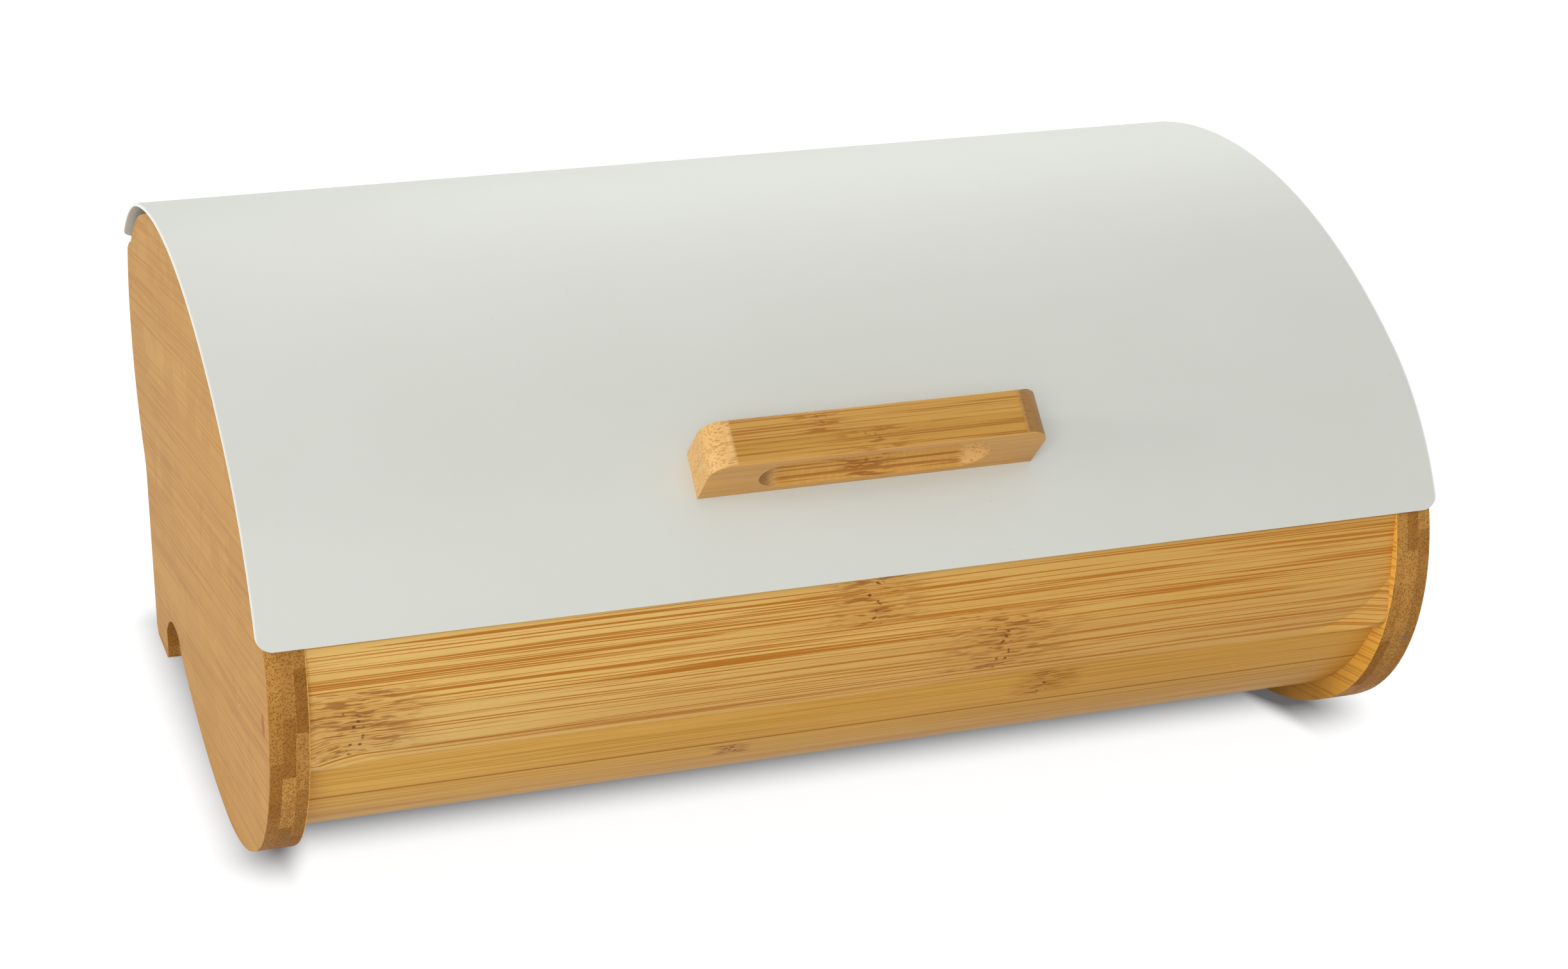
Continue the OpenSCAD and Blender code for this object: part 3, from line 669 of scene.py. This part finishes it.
def lay_floor():
    """A white floor that keeps the bin's shadow, with a painted soft shade along the bin's outline.
    """
    bpy.ops.object.select_all(action="DESELECT")
    bpy.ops.mesh.primitive_plane_add(size=8.0, location=(0, 1.0, 0))
    floor = bpy.context.object
    floor.name = "floor"
    bpy.ops.object.transform_apply(location=True, rotation=True, scale=True)
    material = bpy.data.materials.new("pale floor")
    material.use_nodes = True
    tree = material.node_tree
    tree.nodes.clear()
    # How far away the bin's foot is, for the painted shade that darkens the floor near it. Its
    # front is further back between the panels than at them
    x, y, _ = split(result(tree, "TexCoord", "Object"))
    front = remap(abs(x), 166 * MM, 178 * MM, -48 * MM, -67 * MM)
    beyond = most(front - y, y - 122 * MM, 0.0)
    beside = most(-176 * MM - x, x - 185 * MM, 0.0) * 1.25
    away = calc("SQRT", beyond * beyond + beside * beside)
    clear = mix(remap(away, -8 * MM, 32 * MM), (0, 0, 0.004, 1), WHITE)
    glow = result(tree, "Emission", 0, {"Color": clear, "Strength": 0.93})
    shadowed = result(tree, "BsdfDiffuse", 0, {"Color": (0.16, 0.16, 0.16, 1)})
    seen = result(tree, "AddShader", 0, {0: glow, 1: shadowed})
    lit = result(tree, "BsdfDiffuse", 0, {"Color": (0.84, 0.84, 0.84, 1)})
    both = result(tree, "MixShader", 0, {0: seen_itself(tree), 1: lit, 2: seen})
    put(tree, "OutputMaterial", {"Surface": both})
    floor.data.materials.append(material)


def softbox(name, place, size, power):
    """A soft lamp of size metres that faces the bin."""
    light = bpy.data.lights.new(name, "AREA")
    light.shape = "RECTANGLE"
    light.size, light.size_y = size
    light.energy = power
    lamp = bpy.data.objects.new(name, light)
    bpy.context.scene.collection.objects.link(lamp)
    lamp.location = place
    lamp.rotation_euler = (BIN_MIDDLE - Vector(place)).to_track_quat("-Z", "Y").to_euler()


def light_studio():
    """A white room that gives a plain soft light, and five lamps in it."""
    world = bpy.data.worlds.new("studio")
    bpy.context.scene.world = world
    world.use_nodes = True
    tree = world.node_tree
    tree.nodes.clear()
    soft = result(tree, "Background", 0, {"Color": WHITE, "Strength": 0.44})
    white = result(tree, "Background", 0, {"Color": WHITE, "Strength": 1.0})
    both = result(tree, "MixShader", 0, {0: seen_itself(tree), 1: soft, 2: white})
    put(tree, "OutputWorld", {"Surface": both})
    softbox("softbox behind", (0, 0.95, 1.3), (1.4, 1.0), 6)
    softbox("softbox behind on the right", (0.75, 1.4, 0.95), (1.4, 1.0), 7)
    softbox("softbox above in front", (0, -1.3, 1.4), (1.2, 1.0), 5)
    softbox("softbox in front on the left", (-0.9, -1.9, 0.9), (1.0, 0.8), 15)
    softbox("softbox on the left", (-1.7, -0.2, 0.45), (0.5, 0.5), 11)


set_camera()
finish_bin()
lay_floor()
light_studio()
bpy.context.scene.view_settings.view_transform = "Standard"
